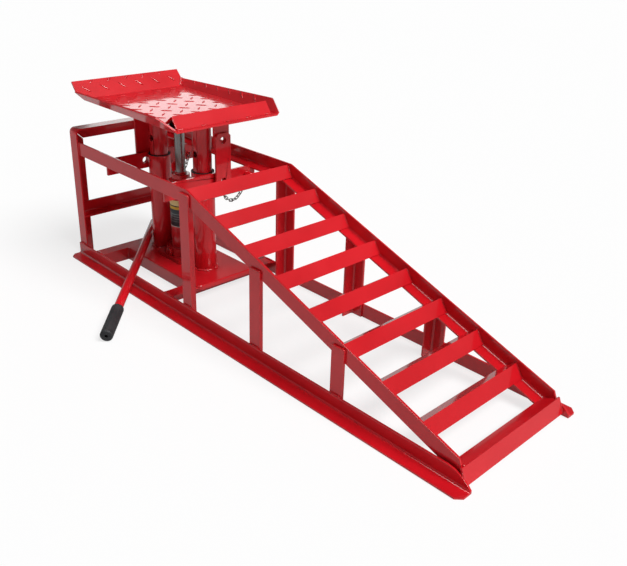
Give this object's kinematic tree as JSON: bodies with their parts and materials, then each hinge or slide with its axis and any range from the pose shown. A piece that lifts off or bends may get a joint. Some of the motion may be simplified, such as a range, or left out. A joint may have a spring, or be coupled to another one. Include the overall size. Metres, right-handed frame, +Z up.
{
  "type": "hydraulic car ramp",
  "caption": "Wheel ramp of welded angle iron with a flared tray that a bottle jack lifts between two guide columns, and a loose pump handle.",
  "frame": {"origin": "on the floor, on the centre line, under the upright leg of the rear cross bar", "axes": "+X down the ramp to its foot, +Y to the far side, +Z up; the near side, with the loose handle, is -Y"},
  "size_m": [0.9726, 0.4151, 0.3513],
  "materials": {
    "red_enamel": "gloss",
    "jack_paint": "gloss",
    "polished_steel": "polished",
    "machined_steel": "satin",
    "zinc": "satin",
    "seal_rubber": "matte",
    "black_rubber": "matte"
  },
  "bodies": {
    "frame": {"base_plate": "red_enamel", "far_base_runner": "red_enamel", "far_bottom_rail": "red_enamel", "far_box_post": "red_enamel", "far_ramp_post_1": "red_enamel", "far_ramp_post_2": "red_enamel", "far_rear_post": "red_enamel", "far_stringer": "red_enamel", "far_top_rail": "red_enamel", "filler_plug": "seal_rubber", "foot_bar": "red_enamel", "front_cross_bar": "red_enamel", "front_cross_plate": "red_enamel", "front_guide_tube": "red_enamel", "gland_seal": "seal_rubber", "jack_base": "jack_paint", "jack_cylinder": "machined_steel", "jack_gland_nut": "jack_paint", "jack_tank": "jack_paint", "near_base_runner": "red_enamel", "near_bottom_rail": "red_enamel", "near_box_post": "red_enamel", "near_ramp_post_1": "red_enamel", "near_ramp_post_2": "red_enamel", "near_rear_post": "red_enamel", "near_stringer": "red_enamel", "near_top_rail": "red_enamel", "pump_barrel": "jack_paint", "pump_link": "jack_paint", "rear_cross_bar": "red_enamel", "rear_cross_plate": "red_enamel", "rear_guide_tube": "red_enamel", "rear_mid_bar": "red_enamel", "rear_stop_bar": "red_enamel", "rung_1": "red_enamel", "rung_2": "red_enamel", "rung_3": "red_enamel", "rung_4": "red_enamel", "rung_5": "red_enamel", "rung_6": "red_enamel", "rung_7": "red_enamel", "rung_8": "red_enamel"},
    "lift": {"tray": "red_enamel", "tray_lip": "red_enamel", "rear_inner_tube": "red_enamel", "front_inner_tube": "red_enamel", "hanger_tab": "red_enamel", "front_strap": "red_enamel", "rear_strap": "red_enamel", "jack_ram": "polished_steel", "piston_seal": "seal_rubber"},
    "release_valve": {"release_valve": "jack_paint"},
    "pump_lever": {"handle_socket": "jack_paint"},
    "plunger": {"pump_plunger": "machined_steel"},
    "handle": {"pump_handle": "red_enamel", "handle_grip": "black_rubber"},
    "front_pin": {"front_lock_pin": "red_enamel"},
    "rear_pin": {"rear_lock_pin": "red_enamel"},
    "front_chain": {"front_chain": "zinc"},
    "rear_chain": {"rear_chain": "zinc"}
  },
  "joints": [
    {"name": "tray_lift", "type": "slide", "parent": "frame", "child": "lift", "axis": [0, 0, 1], "range_m": [-0.077, 0.03]},
    {"name": "release_turn", "type": "hinge", "parent": "frame", "child": "release_valve", "pos_m": [0.1073, -0.031, 0.044], "axis": [0, -1, 0], "range_deg": [0, 360]},
    {"name": "lever_swing", "type": "hinge", "parent": "frame", "child": "pump_lever", "pos_m": [0.08326, 0.02404, 0.102], "axis": [0.7071, 0.7071, 0], "range_deg": [0, 44]},
    {"name": "plunger_stroke", "type": "slide", "parent": "frame", "child": "plunger", "axis": [0, 0, 1], "range_m": [0, 0.013]},
    {"name": "handle_lift", "type": "slide", "parent": "frame", "child": "handle", "axis": [0, 0, 1], "range_m": [0, 0.12]},
    {"name": "front_pin_draw", "type": "slide", "parent": "frame", "child": "front_pin", "axis": [-1, 0, 0], "range_m": [0, 0.018]},
    {"name": "rear_pin_draw", "type": "slide", "parent": "frame", "child": "rear_pin", "axis": [1, 0, 0], "range_m": [0, 0.016]},
    {"name": "front_chain_swing", "type": "hinge", "parent": "frame", "child": "front_chain", "pos_m": [0.1983, 0.02, 0.192], "axis": [0, 0, 1], "range_deg": [0, 16.9]},
    {"name": "rear_chain_swing", "type": "hinge", "parent": "frame", "child": "rear_chain", "pos_m": [0.0163, 0.0805, 0.199], "axis": [0, 0, 1], "range_deg": [0, 19.4]}
  ],
  "couplings": [
    {"joint": "plunger_stroke", "follows": "lever_swing", "m_per_rad": 0.01684},
    {"joint": "front_chain_swing", "follows": "front_pin_draw", "rad_per_m": 16.35},
    {"joint": "rear_chain_swing", "follows": "rear_pin_draw", "rad_per_m": 21.06}
  ]
}
